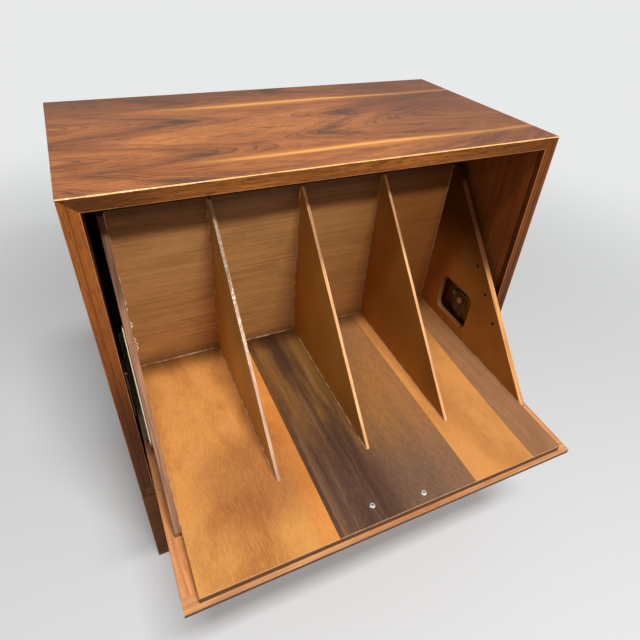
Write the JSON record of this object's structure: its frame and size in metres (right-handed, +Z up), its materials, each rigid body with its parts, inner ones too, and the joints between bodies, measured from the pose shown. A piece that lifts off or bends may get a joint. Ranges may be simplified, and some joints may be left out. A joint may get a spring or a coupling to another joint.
{
  "type": "record cabinet",
  "caption": "Low walnut record cabinet with a full-width front that tips open and carries a divided bin, standing on a plain plinth base.",
  "frame": {"origin": "centre of the base's footprint on the floor", "axes": "+Z up towards the top, +X to the right along the front, +Y from the front to the back; drawn with the bin tipped fully open"},
  "size_m": [0.762, 0.6728, 0.785],
  "materials": {
    "walnut_veneer": "satin lacquered walnut veneer, grain along the width on the top and up the sides",
    "walnut_edge": "solid walnut edge strips, worn paler on the front arris",
    "base_walnut": "dark stained walnut",
    "liner_veneer": "golden veneer in strips with one dark walnut strip",
    "bin_veneer": "golden brown veneer with pale pinkish edges",
    "frame_wood": "pale solid hardwood, satin",
    "core_board": "raw blockboard",
    "back_board": "thin stained plywood",
    "hinge_steel": "cream passivated steel, lightly worn",
    "zinc_steel": "bright zinc plated steel",
    "screw_steel": "dull steel",
    "fibre": "dark red fibre",
    "catch_brass": "aged brass"
  },
  "bodies": {
    "case": {"top_panel": "walnut_veneer", "left_side": "walnut_veneer", "right_side": "walnut_veneer", "bottom_panel": "walnut_veneer", "back_panel": "back_board", "top_lipping": "walnut_edge", "left_lipping": "walnut_edge", "right_lipping": "walnut_edge", "bottom_lipping": "walnut_edge", "bottom_rail": "walnut_edge", "base_front": "base_walnut", "base_back": "base_walnut", "base_left": "base_walnut", "base_right": "base_walnut", "base_cross_rail": "frame_wood", "base_blocks": "frame_wood", "base_screws": "screw_steel", "back_screws": "screw_steel", "left_pivot_plate": "hinge_steel", "right_pivot_plate": "hinge_steel", "pivot_plate_screws": "screw_steel", "left_pivot_stud": "zinc_steel", "right_pivot_stud": "zinc_steel", "left_stop_pin": "zinc_steel", "right_stop_pin": "zinc_steel", "pivot_washers": "fibre", "catch_magnet": "screw_steel", "catch_sleeve": "catch_brass"},
    "bin": {"door_skin": "walnut_veneer", "door_core": "core_board", "door_top_rail": "frame_wood", "door_bottom_rail": "frame_wood", "door_left_stile": "frame_wood", "door_right_stile": "frame_wood", "door_liner": "liner_veneer", "bin_floor": "bin_veneer", "divider_1": "bin_veneer", "divider_2": "bin_veneer", "divider_3": "bin_veneer", "left_end_panel": "bin_veneer", "right_end_panel": "bin_veneer", "left_bin_plate": "hinge_steel", "right_bin_plate": "hinge_steel", "bin_plate_screws": "screw_steel", "bin_cleat": "frame_wood", "handle": "walnut_edge", "handle_screws": "screw_steel", "handle_washers": "catch_brass", "catch_strike": "zinc_steel"}
  },
  "joints": [
    {"name": "bin_tilt", "type": "hinge", "parent": "case", "child": "bin", "pos_m": [0, -0.112, 0.3995], "axis": [-1, 0, 0], "range_deg": [0, 93.25]}
  ]
}
